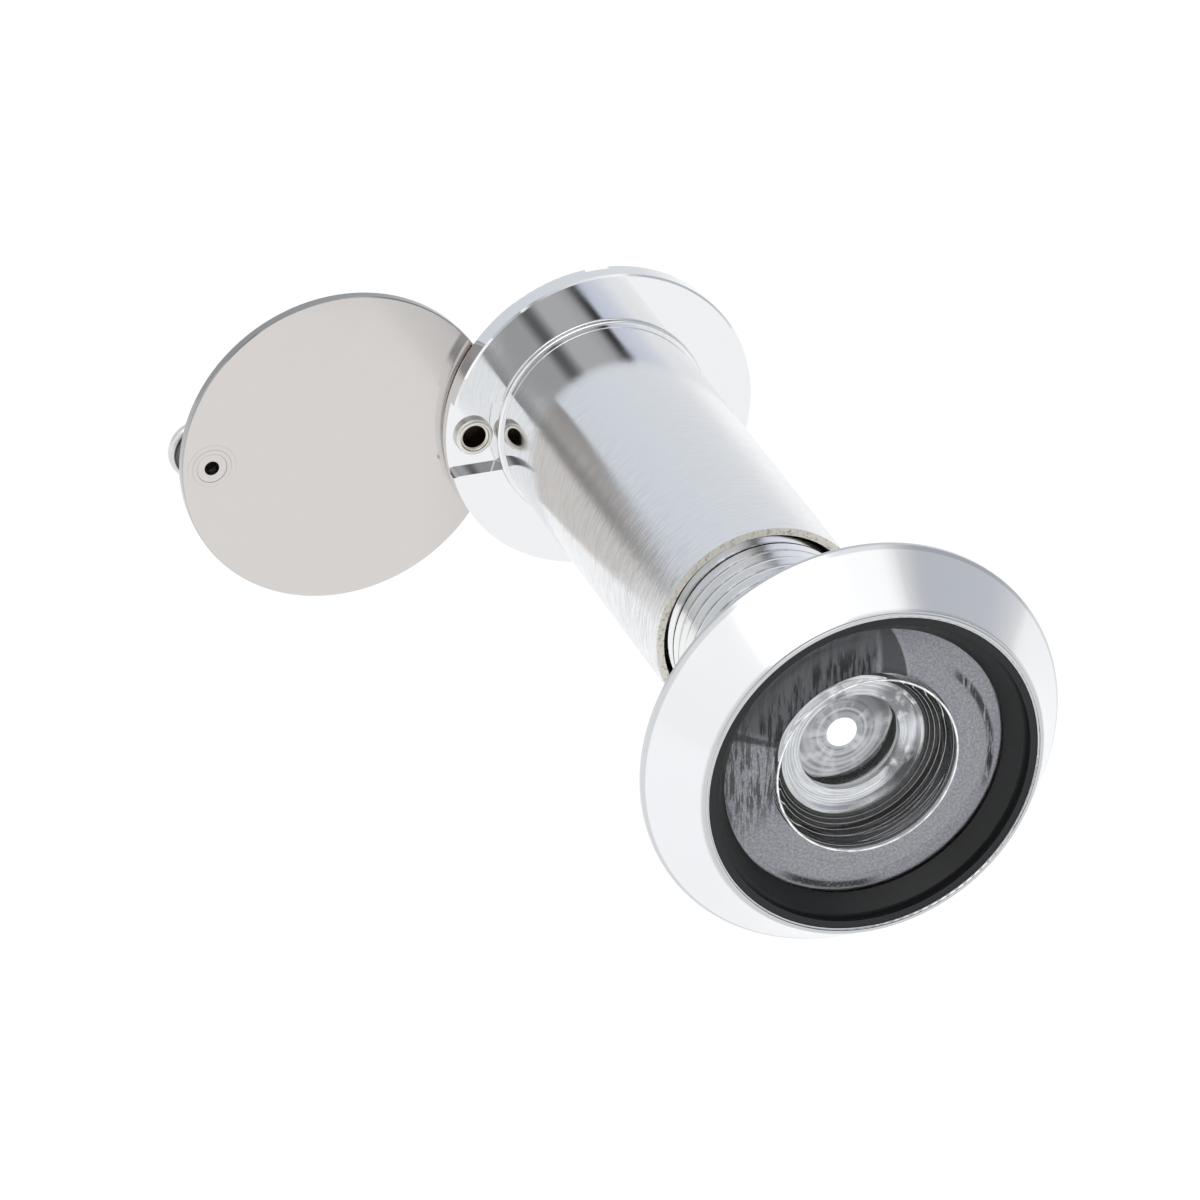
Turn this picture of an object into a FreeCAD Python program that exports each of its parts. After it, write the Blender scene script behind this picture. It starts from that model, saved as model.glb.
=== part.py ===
import FreeCAD, Part
import math
import os
import Sketcher
from FreeCAD import Vector

# Door viewer with a swivel privacy cover, millimetres, +Z up.
# The hole's axis is Y: the visitor's side is -Y, the room is +Y. The origin is on that axis, half way
# through the door. The cover's pivot is at -X, and the cover is swung fully open, away from the eyepiece.

doc = FreeCAD.newDocument("door_viewer")

SIZES = [
    # the door, the gap between flat faces that rest on each other, and how far a cut runs past an edge
    ("door_thickness", 44.3), ("flat_gap", 0.02), ("cut_overshoot", 1.0),
    # bezel
    ("bezel_radius", 13.65), ("bezel_rim", 0.35), ("bezel_height", 4.4), ("bezel_back_chamfer", 0.1),
    ("bezel_bulge", 26.0), ("bezel_face_width", 2.55), ("lip_flat", 0.15), ("lip_round", 0.12),
    # tube
    ("tube_radius", 7.0), ("tube_length", 29.35), ("tube_wall", 0.75), ("mouth_wall", 0.5),
    ("mouth_depth", 1.2), ("collar_step", 0.11), ("collar_length", 0.38),
    # the thread between tube and barrel, and the barrel's wall
    ("thread_pitch", 1.0), ("thread_depth", 0.5), ("thread_tip_clearance", 0.15),
    ("thread_ridge_width", 0.38), ("pitch_line_depth", 0.2), ("thread_flank_slope", 0.577),
    ("thread_start", 0.9), ("thread_end_margin", 0.5), ("thread_root_overlap", 0.06),
    ("inner_thread_start", 1.7), ("inner_thread_turns", 9.0), ("barrel_shoulder_step", 0.05),
    ("barrel_shoulder_length", 0.3), ("barrel_wall", 0.7), ("barrel_end_chamfer", 0.3),
    ("barrel_end_gap", 0.25),
    # front lens and the black ring that holds it
    ("recess_clearance", 0.03), ("lens_recess_depth", 2.4), ("trim_ring_setback", 0.14),
    ("trim_ring_depth", 1.66), ("trim_ring_rim", 0.45), ("trim_ring_step", 0.45),
    ("trim_ring_ledge", 0.28), ("trim_ring_width", 1.58), ("trim_ring_hold", 1.11),
    ("front_lens_sag", 1.5), ("front_lens_core", 0.9), ("front_lens_land", 0.3),
    ("glass_clearance", 0.04),
    # threaded throat behind the front lens
    ("throat_step", 0.15), ("throat_taper", 0.85), ("throat_depth", 1.6), ("throat_groove", 0.09),
    # ring, lenses and spacer in the barrel
    ("lens_stack_clearance", 0.04), ("stack_ring_land", 0.25), ("stack_ring_width", 1.36),
    ("stack_ring_dish", 0.55), ("stack_ring_lip", 0.4), ("stack_ring_cone", 0.2),
    ("second_lens_edge", 1.6), ("second_lens_front_sag", 0.45), ("second_lens_rim", 1.16),
    ("second_lens_bowl_sag", 1.2), ("spacer_length", 3.8), ("spacer_wall", 1.05),
    ("third_lens_edge", 2.0), ("third_lens_rim", 1.16), ("third_lens_bowl_sag", 0.7),
    ("rear_ring_length", 1.5), ("rear_ring_width", 1.36), ("spanner_slot_width", 0.8),
    ("spanner_slot_depth", 0.6),
    # flange
    ("flange_width", 3.45), ("flange_thickness", 1.6), ("flange_door_edge", 0.12),
    ("flange_room_edge", 0.35), ("coin_slot_width", 1.6), ("coin_slot_depth", 0.6),
    ("coin_slot_length", 3.25), ("rivet_pocket_width", 5.0), ("rivet_pocket_depth", 0.7),
    ("rivet_pocket_corner", 0.8), ("rivet_pocket_wall_gap", 0.1),
    # eyepiece
    ("eyepiece_wall", 1.8), ("eyepiece_shoulder", 1.2), ("eyepiece_seat_depth", 1.0),
    ("eyepiece_hole_chamfer", 0.4), ("eyepiece_lens_edge", 1.2), ("eyepiece_lens_sag", 0.45),
    ("eyepiece_ring_length", 1.6), ("eyepiece_ring_width", 1.1), ("eyepiece_back_margin", 0.86),
    # cover and its pivot
    ("pivot_edge", 1.85), ("cover_overlap", 0.37), ("cover_thickness", 0.7), ("cover_edge", 0.08),
    ("cover_gap", 0.16), ("washer_width", 0.8), ("rivet_running_clearance", 0.05),
    ("rivet_tight_clearance", 0.02), ("rivet_head_width", 0.8), ("rivet_head_height", 0.6),
    ("rivet_head_edge", 0.15), ("clench_gap", 0.22), ("clench_roll", 0.32), ("clench_sink", 0.24),
    ("clench_round", 0.2), ("rivet_end_wall", 0.17), ("rivet_web", 0.74),
    # knob
    ("knob_radius", 2.08), ("knob_edge", 2.02), ("knob_foot_radius", 1.6), ("knob_foot_height", 0.35),
    ("knob_waist_radius", 1.15), ("knob_waist_height", 1.0), ("knob_flare", 0.6),
    ("knob_head_flat", 0.1), ("knob_head_round", 0.4), ("knob_dome", 0.35), ("knob_shank_radius", 1.0),
    ("knob_shank_clearance", 0.02), ("knob_bore_radius", 0.49), ("knob_bore_past_cover", 0.7),
    ("knob_shank_setback", 0.02),
]

sheet = doc.addObject("Spreadsheet::Sheet", "Sizes")
for row, (alias, value) in enumerate(SIZES, start=1):
    sheet.set("A%d" % row, alias)
    sheet.set("B%d" % row, str(value))
    sheet.setAlias("B%d" % row, alias)
doc.recompute()

SUBPARTS = []


def in_sheet(expression):
    """Write each size's name in an expression the way a formula on another object needs it."""
    names = {alias for alias, _ in SIZES}
    out, word = "", ""
    for letter in expression + " ":
        if letter.isalnum() or letter == "_":
            word += letter
        else:
            out += ("Sizes." + word if word in names else word) + letter
            word = ""
    return out.strip()


def number(expression):
    """The value of an expression at the sheet's present sizes."""
    return float(sheet.evalExpression(expression))


def new_body(name):
    body = doc.addObject("PartDesign::Body", name)
    body.Label = name
    SUBPARTS.append(body)
    return body


def place(body, **axes):
    """Bind a body's place on the named axes."""
    for axis, expression in axes.items():
        body.setExpression("Placement.Base." + axis, in_sheet(expression))


def new_sketch(body, name, plane="XY_Plane", offset="0"):
    """A sketch on one of the body's own planes, moved along the plane's normal by an offset."""
    support = [f for f in body.Origin.OriginFeatures if f.Role == plane][0]
    sketch = body.newObject("Sketcher::SketchObject", name)
    sketch.AttachmentSupport = [(support, "")]
    sketch.MapMode = "FlatFace"
    if offset != "0":
        sketch.setExpression("AttachmentOffset.Base.z", in_sheet(offset))
    return sketch


def arc_centre(start, end, kind, amount):
    """Centre of an arc: 'axis' has it on the Y axis, 'left' and 'right' say its side of the path."""
    if kind == "axis":
        chord_x, chord_y = (start.x + end.x) / 2, (start.y + end.y) / 2
        run, rise = end.x - start.x, end.y - start.y
        return Vector(0, chord_y + chord_x * run / rise, 0)
    middle = (start + end) * 0.5
    across = end - start
    half = across.Length / 2
    side = Vector(-across.y, across.x, 0).normalize()
    reach = math.sqrt(max(amount ** 2 - half ** 2, 0))
    return middle + side * (reach if kind == "left" else -reach)


def outline(sketch, points):
    """Closed outline through points of two expressions; a third item makes the next stretch an arc.

    The arc is ("axis",) with its centre on the Y axis, or ("left" or "right", radius).
    """
    places = [Vector(number(item[0]), number(item[1]), 0) for item in points]
    first_edge = sketch.GeometryCount
    ends = []
    for index, item in enumerate(points):
        start, end = places[index], places[(index + 1) % len(points)]
        if len(item) == 2:
            sketch.addGeometry(Part.LineSegment(start, end))
            ends.append((1, 2))
            continue
        kind = item[2][0]
        amount = number(item[2][1]) if kind != "axis" else 0
        centre = arc_centre(start, end, kind, amount)
        turn_start = math.atan2(start.y - centre.y, start.x - centre.x)
        turn_end = math.atan2(end.y - centre.y, end.x - centre.x)
        circle = Part.Circle(centre, Vector(0, 0, 1), (start - centre).Length)
        forward = (turn_end - turn_start) % (2 * math.pi) < math.pi
        if forward:
            sketch.addGeometry(Part.ArcOfCircle(circle, turn_start, turn_end))
        else:
            sketch.addGeometry(Part.ArcOfCircle(circle, turn_end, turn_start))
        ends.append((1, 2) if forward else (2, 1))
    for index, item in enumerate(points):
        edge = first_edge + index
        following = first_edge + (index + 1) % len(points)
        sketch.addConstraint(Sketcher.Constraint(
            "Coincident", edge, ends[index][1], following, ends[(index + 1) % len(points)][0]))
    for index, item in enumerate(points):
        edge, corner = first_edge + index, places[index]
        for kind, expression, amount in (("DistanceX", item[0], corner.x), ("DistanceY", item[1], corner.y)):
            row = sketch.addConstraint(Sketcher.Constraint(kind, edge, ends[index][0], amount))
            sketch.setExpression("Constraints[%d]" % row, in_sheet(expression))
        if len(item) == 3 and item[2][0] == "axis":
            sketch.addConstraint(Sketcher.Constraint("PointOnObject", edge, 3, -2))
        elif len(item) == 3:
            row = sketch.addConstraint(Sketcher.Constraint("Radius", edge, number(item[2][1])))
            sketch.setExpression("Constraints[%d]" % row, in_sheet(item[2][1]))


def turned(body, name, points):
    """A turned stretch of a body: an outline in radius and height, revolved about the Y axis."""
    sketch = new_sketch(body, name + "_outline")
    outline(sketch, points)
    feature = body.newObject("PartDesign::Revolution", name)
    feature.Profile = sketch
    feature.ReferenceAxis = (sketch, ["V_Axis"])
    feature.Angle = 360
    return feature


def cut(body, name, sketch, depth, towards_door):
    """Cut a sketch's outlines into a body, and stop if that takes nothing away."""
    before = body.Shape.Volume
    feature = body.newObject("PartDesign::Pocket", name)
    feature.Profile = sketch
    feature.Reversed = towards_door
    feature.setExpression("Length", in_sheet(depth))
    doc.recompute()
    if body.Shape.Volume >= before:
        raise RuntimeError(name + " cuts nothing")


def cut_outlines(body, name, outlines, depth, offset="0", towards_door=False):
    """Cut closed outlines, drawn in X and Z, into a body from a plane square to the Y axis."""
    doc.recompute()
    sketch = new_sketch(body, name + "_outline", "XZ_Plane", offset)
    for points in outlines:
        outline(sketch, points)
    cut(body, name, sketch, depth, towards_door)


def cut_hole(body, name, x, radius, depth, offset):
    """Drill a hole of a given depth along -Y from a plane square to the Y axis."""
    doc.recompute()
    sketch = new_sketch(body, name + "_outline", "XZ_Plane", offset)
    sketch.addGeometry(Part.Circle(Vector(number(x), 0, 0), Vector(0, 0, 1), number(radius)))
    rows = [(("DistanceX", 0, 3), x), (("DistanceY", 0, 3), "0"), (("Radius", 0), radius)]
    for which, expression in rows:
        row = sketch.addConstraint(Sketcher.Constraint(*which, number(expression)))
        sketch.setExpression("Constraints[%d]" % row, in_sheet(expression))
    cut(body, name, sketch, depth, True)


def thread_ridge(body, name, points, height):
    """Wind a ridge's section round the Y axis as a right-hand helix of the thread's pitch."""
    doc.recompute()
    before = body.Shape.Volume
    sketch = new_sketch(body, name + "_section")
    outline(sketch, points)
    feature = body.newObject("PartDesign::AdditiveHelix", name)
    feature.Profile = sketch
    feature.ReferenceAxis = (sketch, ["V_Axis"])
    feature.Mode = "pitch-height-angle"
    feature.setExpression("Pitch", in_sheet("thread_pitch"))
    feature.setExpression("Height", in_sheet(height))
    doc.recompute()
    if body.Shape.Volume <= before:
        raise RuntimeError(name + " adds nothing")


# Heights below are each piece's own, and its Placement puts it in the frame. On the housing and what it
# holds, 0 is the bezel's back face and the front is negative; on the tube, 0 is the flange's door face.

THREAD_GROOVE = "(tube_radius - tube_wall)"
THREAD_CREST = "(%s - thread_tip_clearance)" % THREAD_GROOVE
BARREL_ROOT = "(%s - thread_depth)" % THREAD_CREST
BARREL_BORE = "(%s - barrel_wall)" % BARREL_ROOT
BARREL_SHOULDER = "(%s + barrel_shoulder_step)" % THREAD_CREST
PITCH_LINE = "(%s - pitch_line_depth)" % THREAD_CREST
THROAT_BOTTOM_RADIUS = "(%s + throat_step)" % BARREL_BORE
THROAT_RADIUS = "(%s + throat_taper)" % THROAT_BOTTOM_RADIUS

EYE_BORE = "(tube_radius - eyepiece_wall)"
EYE_HOLE = "(%s - eyepiece_shoulder)" % EYE_BORE
EYE_SEAT = "(flange_thickness - eyepiece_seat_depth)"
EYE_RING_END = "(%s - eyepiece_lens_edge - 2 * flat_gap - eyepiece_ring_length)" % EYE_SEAT
TUBE_BACK = "(%s - eyepiece_back_margin)" % EYE_RING_END
BARREL_LENGTH = "(tube_length + %s - barrel_end_gap)" % TUBE_BACK

LIP_RADIUS = "(bezel_radius - bezel_face_width)"
RECESS_RADIUS = "(%s - 2 * lip_round - lip_flat)" % LIP_RADIUS
TRIM_RADIUS = "(%s - recess_clearance)" % RECESS_RADIUS
TRIM_INNER = "(%s - trim_ring_width)" % TRIM_RADIUS
FRONT_LENS_RADIUS = "(%s - trim_ring_hold)" % RECESS_RADIUS
BEZEL_FRONT = "(-bezel_height)"
SEAT = "(lens_recess_depth - bezel_height)"
LENS_EDGE = "(trim_ring_setback + trim_ring_depth - bezel_height)"
THROAT_BOTTOM = "(%s + throat_depth)" % SEAT

FLANGE_RADIUS = "(tube_radius + flange_width)"
COLLAR_RADIUS = "(tube_radius + collar_step)"
POCKET_WALL_RADIUS = "(%s + rivet_pocket_wall_gap)" % COLLAR_RADIUS
PIVOT = "(%s - pivot_edge)" % FLANGE_RADIUS
CLENCH_RADIUS = "(%s - %s - clench_gap)" % (PIVOT, COLLAR_RADIUS)
SHANK_RADIUS = "(%s - clench_roll)" % CLENCH_RADIUS
COVER_RADIUS = "(%s + cover_overlap)" % FLANGE_RADIUS
KNOB_OFFSET = "(%s - knob_edge)" % COVER_RADIUS

BEZEL_PLACE = "-door_thickness / 2"
TUBE_PLACE = "door_thickness / 2"
COVER_PLACE = "door_thickness / 2 + flange_thickness + cover_gap"


def ridge_half(radius):
    """Half of the width of a thread ridge's section at a radius, from its width at the pitch line."""
    return "(thread_ridge_width / 2 - (%s - %s) * thread_flank_slope)" % (radius, PITCH_LINE)


def hollow_half(radius):
    """The same for a ridge that points inwards."""
    return "(thread_ridge_width / 2 + (%s - %s) * thread_flank_slope)" % (radius, PITCH_LINE)


def outer_housing():
    """Bezel, lens recess and threaded barrel in one turned piece."""
    body = new_body("outer_housing")
    grooves = 5
    step_y = "throat_depth / %d" % grooves
    step_r = "throat_taper / %d" % grooves
    throat = []
    for turn in range(grooves):
        crest_r = "%s - %d * %s" % (THROAT_RADIUS, turn, step_r)
        crest_y = "%s + %d * %s" % (SEAT, turn, step_y)
        throat.append((crest_r, crest_y))
        throat.append(("%s - %s / 2 + throat_groove" % (crest_r, step_r), "%s + %s / 2" % (crest_y, step_y)))
    throat.append((THROAT_BOTTOM_RADIUS, THROAT_BOTTOM))
    turned(body, "bezel_and_barrel", [
        ("bezel_radius - bezel_back_chamfer", "0"),
        ("bezel_radius", "-bezel_back_chamfer"),
        ("bezel_radius", "-bezel_rim", ("left", "bezel_bulge")),
        (LIP_RADIUS, BEZEL_FRONT + " + lip_round", ("left", "lip_round")),
        (LIP_RADIUS + " - lip_round", BEZEL_FRONT),
        (RECESS_RADIUS + " + lip_round", BEZEL_FRONT, ("left", "lip_round")),
        (RECESS_RADIUS, BEZEL_FRONT + " + lip_round"),
        (RECESS_RADIUS, SEAT)]
        + throat + [
        (BARREL_BORE, THROAT_BOTTOM),
        (BARREL_BORE, BARREL_LENGTH),
        (BARREL_ROOT + " - barrel_end_chamfer", BARREL_LENGTH),
        (BARREL_ROOT, BARREL_LENGTH + " - barrel_end_chamfer"),
        (BARREL_ROOT, "barrel_shoulder_length"),
        (BARREL_SHOULDER, "barrel_shoulder_length"),
        (BARREL_SHOULDER, "0")])
    core = "(%s - thread_root_overlap)" % BARREL_ROOT
    thread_ridge(body, "outside_thread", [
        (core, "thread_start - " + ridge_half(core)),
        (THREAD_CREST, "thread_start - " + ridge_half(THREAD_CREST)),
        (THREAD_CREST, "thread_start + " + ridge_half(THREAD_CREST)),
        (core, "thread_start + " + ridge_half(core))],
        BARREL_LENGTH + " - thread_start - thread_end_margin")
    place(body, y=BEZEL_PLACE)


def front_trim_ring():
    """Black ring that holds the front lens down in the bezel's recess."""
    body = new_body("front_trim_ring")
    front = BEZEL_FRONT + " + trim_ring_setback"
    step = front + " + trim_ring_step"
    over_lens = LENS_EDGE + " - glass_clearance"
    beside_lens = FRONT_LENS_RADIUS + " + glass_clearance"
    turned(body, "ring", [
        (TRIM_RADIUS, SEAT),
        (TRIM_RADIUS, front),
        (TRIM_RADIUS + " - trim_ring_rim", front),
        (TRIM_RADIUS + " - trim_ring_rim", step),
        (TRIM_RADIUS + " - trim_ring_rim - trim_ring_ledge", step),
        (TRIM_INNER, over_lens),
        (beside_lens, over_lens),
        (beside_lens, SEAT)])
    place(body, y=BEZEL_PLACE)


def front_lens():
    """Large negative lens: domed front, flat rear rim and a hollow ground in its middle."""
    body = new_body("front_lens")
    apex = LENS_EDGE + " - front_lens_sag"
    rear = SEAT + " - flat_gap"
    turned(body, "lens", [
        ("0", apex, ("axis",)),
        (TRIM_INNER, LENS_EDGE),
        (FRONT_LENS_RADIUS, LENS_EDGE),
        (FRONT_LENS_RADIUS, rear),
        (THROAT_RADIUS + " - front_lens_land", rear, ("axis",)),
        ("0", apex + " + front_lens_core")])
    place(body, y=BEZEL_PLACE)


STACK_RADIUS = "(%s - lens_stack_clearance)" % BARREL_BORE
STACK_HOLE = "(%s - stack_ring_width)" % STACK_RADIUS
SECOND_LENS_Y = "(%s + stack_ring_dish + stack_ring_lip + stack_ring_cone)" % THROAT_BOTTOM
SPACER_Y = "(%s + second_lens_edge + flat_gap)" % SECOND_LENS_Y
THIRD_LENS_Y = "(%s + spacer_length + flat_gap)" % SPACER_Y
REAR_RING_Y = "(%s + third_lens_edge + flat_gap)" % THIRD_LENS_Y


def second_lens_ring():
    """Bright dished ring that holds the second lens, seen through the front lens."""
    body = new_body("second_lens_ring")
    dish = THROAT_BOTTOM + " + stack_ring_dish"
    turned(body, "ring", [
        (STACK_RADIUS, THROAT_BOTTOM),
        (STACK_RADIUS + " - stack_ring_land", THROAT_BOTTOM),
        (STACK_RADIUS + " - stack_ring_land", dish),
        (STACK_HOLE, dish + " + stack_ring_cone"),
        (STACK_HOLE, SECOND_LENS_Y + " - flat_gap"),
        (STACK_RADIUS, SECOND_LENS_Y + " - flat_gap")])
    place(body, y=BEZEL_PLACE)


def second_lens():
    """Small lens with a low dome in front and a hollow behind."""
    body = new_body("second_lens")
    rear = SECOND_LENS_Y + " + second_lens_edge"
    turned(body, "lens", [
        ("0", SECOND_LENS_Y + " - second_lens_front_sag", ("axis",)),
        (STACK_HOLE + " - glass_clearance", SECOND_LENS_Y),
        (STACK_RADIUS, SECOND_LENS_Y),
        (STACK_RADIUS, rear),
        (STACK_RADIUS + " - second_lens_rim", rear, ("axis",)),
        ("0", rear + " - second_lens_bowl_sag")])
    place(body, y=BEZEL_PLACE)


def lens_spacer():
    """Plain sleeve that keeps the second and third lenses apart."""
    body = new_body("lens_spacer")
    turned(body, "sleeve", [
        (STACK_RADIUS, SPACER_Y),
        (STACK_RADIUS + " - spacer_wall", SPACER_Y),
        (STACK_RADIUS + " - spacer_wall", SPACER_Y + " + spacer_length"),
        (STACK_RADIUS, SPACER_Y + " + spacer_length")])
    place(body, y=BEZEL_PLACE)


def third_lens():
    """Small lens hollow on both sides."""
    body = new_body("third_lens")
    rear = THIRD_LENS_Y + " + third_lens_edge"
    turned(body, "lens", [
        ("0", THIRD_LENS_Y + " + third_lens_bowl_sag", ("axis",)),
        (STACK_RADIUS + " - third_lens_rim", THIRD_LENS_Y),
        (STACK_RADIUS, THIRD_LENS_Y),
        (STACK_RADIUS, rear),
        (STACK_RADIUS + " - third_lens_rim", rear, ("axis",)),
        ("0", rear + " - third_lens_bowl_sag")])
    place(body, y=BEZEL_PLACE)


def rectangle(low_x, high_x, low_z, high_z):
    """Corners of a rectangle."""
    return [(low_x, low_z), (high_x, low_z), (high_x, high_z), (low_x, high_z)]


def rear_lens_ring():
    """Ring screwed in from the barrel's open end, with a slot across it for a spanner."""
    body = new_body("rear_lens_ring")
    rear = REAR_RING_Y + " + rear_ring_length"
    turned(body, "ring", [
        (STACK_RADIUS, REAR_RING_Y),
        (STACK_RADIUS + " - rear_ring_width", REAR_RING_Y),
        (STACK_RADIUS + " - rear_ring_width", rear),
        (STACK_RADIUS, rear)])
    half = "spanner_slot_width / 2"
    cut_outlines(body, "spanner_slot", [rectangle("-" + BARREL_BORE, BARREL_BORE, "-" + half, half)],
                 "spanner_slot_depth", offset="-(%s)" % rear, towards_door=True)
    place(body, y=BEZEL_PLACE)


def inner_tube():
    """Chromed tube with its flange, turned by a coin and threaded inside."""
    body = new_body("inner_tube")
    turned(body, "flange", [
        (EYE_BORE, "0"),
        (EYE_BORE, EYE_SEAT),
        (EYE_HOLE, EYE_SEAT),
        (EYE_HOLE, "flange_thickness - eyepiece_hole_chamfer"),
        (EYE_HOLE + " + eyepiece_hole_chamfer", "flange_thickness"),
        (FLANGE_RADIUS + " - flange_room_edge", "flange_thickness", ("right", "flange_room_edge")),
        (FLANGE_RADIUS, "flange_thickness - flange_room_edge"),
        (FLANGE_RADIUS, "flange_door_edge"),
        (FLANGE_RADIUS + " - flange_door_edge", "0")])
    half, corner, rim = "rivet_pocket_width / 2", "rivet_pocket_corner", FLANGE_RADIUS
    past_rim = "-%s - cut_overshoot" % rim
    wall_x = "-sqrt(%s ^ 2 - rivet_pocket_width ^ 2 / 4)" % POCKET_WALL_RADIUS
    cut_outlines(body, "rivet_pocket", [[
        (wall_x, "-" + half),
        ("-%s + %s" % (rim, corner), "-" + half, ("left", corner)),
        ("-" + rim, "-%s - %s" % (half, corner)),
        (past_rim, "-%s - %s" % (half, corner)),
        (past_rim, "%s + %s" % (half, corner)),
        ("-" + rim, "%s + %s" % (half, corner), ("left", corner)),
        ("-%s + %s" % (rim, corner), half),
        (wall_x, half, ("left", POCKET_WALL_RADIUS))]],
        "rivet_pocket_depth")
    slot = "coin_slot_width / 2"
    cut_outlines(body, "coin_slots", [
        rectangle("-" + slot, slot, rim + " - coin_slot_length", rim + " + cut_overshoot"),
        rectangle("-" + slot, slot, past_rim, "-%s + coin_slot_length" % rim)],
        "coin_slot_depth", offset="-flange_thickness", towards_door=True)
    mouth = "(-tube_length)"
    turned(body, "tube", [
        (EYE_BORE, "0"),
        (COLLAR_RADIUS, "0"),
        (COLLAR_RADIUS, "-collar_length"),
        ("tube_radius", "-collar_length"),
        ("tube_radius", mouth),
        ("tube_radius - mouth_wall", mouth),
        ("tube_radius - mouth_wall", mouth + " + mouth_depth"),
        (THREAD_GROOVE, mouth + " + mouth_depth"),
        (THREAD_GROOVE, TUBE_BACK),
        (EYE_BORE, TUBE_BACK)])
    cut_hole(body, "rivet_hole", "-" + PIVOT, SHANK_RADIUS + " + rivet_tight_clearance",
             "2 * flange_thickness", offset="-flange_thickness")
    tip = "(%s + thread_tip_clearance)" % BARREL_ROOT
    base = "(%s + thread_root_overlap)" % THREAD_GROOVE
    first_groove = "(thread_start - door_thickness + thread_pitch / 2)"
    skipped = "ceil((inner_thread_start - tube_length - %s) / thread_pitch)" % first_groove
    start = "(%s + %s * thread_pitch)" % (first_groove, skipped)
    thread_ridge(body, "inside_thread", [
        (base, "%s - %s" % (start, hollow_half(base))),
        (tip, "%s - %s" % (start, hollow_half(tip))),
        (tip, "%s + %s" % (start, hollow_half(tip))),
        (base, "%s + %s" % (start, hollow_half(base)))],
        "inner_thread_turns * thread_pitch")
    place(body, y=TUBE_PLACE)


def eyepiece_lens():
    """Lens next to the eye, domed on both sides."""
    body = new_body("eyepiece_lens")
    room_y = EYE_SEAT + " - flat_gap"
    barrel_y = room_y + " - eyepiece_lens_edge"
    radius = EYE_BORE + " - lens_stack_clearance"
    turned(body, "lens", [
        ("0", room_y + " + eyepiece_lens_sag", ("axis",)),
        (EYE_HOLE + " - glass_clearance", room_y),
        (radius, room_y),
        (radius, barrel_y),
        (EYE_BORE + " - eyepiece_ring_width - glass_clearance", barrel_y, ("axis",)),
        ("0", barrel_y + " - eyepiece_lens_sag")])
    place(body, y=TUBE_PLACE)


def eyepiece_ring():
    """Ring pressed in from the barrel's side, behind the eyepiece lens."""
    body = new_body("eyepiece_ring")
    room_y = EYE_SEAT + " - eyepiece_lens_edge - 2 * flat_gap"
    radius = EYE_BORE + " - lens_stack_clearance"
    turned(body, "ring", [
        (EYE_BORE + " - eyepiece_ring_width", room_y),
        (radius, room_y),
        (radius, EYE_RING_END),
        (EYE_BORE + " - eyepiece_ring_width", EYE_RING_END)])
    place(body, y=TUBE_PLACE)


def pivot_rivet():
    """Hollow-ended rivet: its head is on the cover, and its end is rolled over in the flange's pocket."""
    body = new_body("pivot_rivet")
    cover_face = "(flange_thickness + cover_gap + cover_thickness + flat_gap)"
    head_radius = SHANK_RADIUS + " + rivet_head_width"
    bore = SHANK_RADIUS + " - rivet_end_wall"
    floor = "rivet_pocket_depth"
    turned(body, "rivet", [
        ("0", cover_face + " - rivet_web"),
        (bore, cover_face + " - rivet_web"),
        (bore, "clench_sink + clench_round", ("right", "clench_round")),
        (bore + " + clench_round", "clench_sink"),
        (CLENCH_RADIUS + " - clench_round", "clench_sink", ("left", "clench_round")),
        (CLENCH_RADIUS, "clench_sink + clench_round"),
        (CLENCH_RADIUS, floor),
        (SHANK_RADIUS, floor),
        (SHANK_RADIUS, cover_face),
        (head_radius, cover_face),
        (head_radius, cover_face + " + rivet_head_edge", ("axis",)),
        ("0", cover_face + " + rivet_head_height")])
    place(body, x="-" + PIVOT, y=TUBE_PLACE)


def pivot_washer():
    """Thin washer between the flange and the cover, which gives the cover its friction."""
    body = new_body("pivot_washer")
    low = "flange_thickness + flat_gap"
    high = "flange_thickness + cover_gap - flat_gap"
    inside = SHANK_RADIUS + " + rivet_running_clearance"
    turned(body, "washer", [
        (inside, low),
        (inside + " + washer_width", low),
        (inside + " + washer_width", high),
        (inside, high)])
    place(body, x="-" + PIVOT, y=TUBE_PLACE)


def cover_disc():
    """Flat round cover that swings about the rivet; it is drawn swung open by half a turn."""
    body = new_body("cover_disc")
    turned(body, "disc", [
        ("0", "0"),
        (COVER_RADIUS + " - cover_edge", "0"),
        (COVER_RADIUS, "cover_edge"),
        (COVER_RADIUS, "cover_thickness - cover_edge"),
        (COVER_RADIUS + " - cover_edge", "cover_thickness"),
        ("0", "cover_thickness")])
    cut_hole(body, "pivot_hole", PIVOT, SHANK_RADIUS + " + rivet_running_clearance",
             "2 * cover_thickness", offset="-cover_thickness")
    cut_hole(body, "knob_hole", "-" + KNOB_OFFSET, "knob_shank_radius + knob_shank_clearance",
             "2 * cover_thickness", offset="-cover_thickness")
    place(body, x="-2 * " + PIVOT, y=COVER_PLACE)


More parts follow.
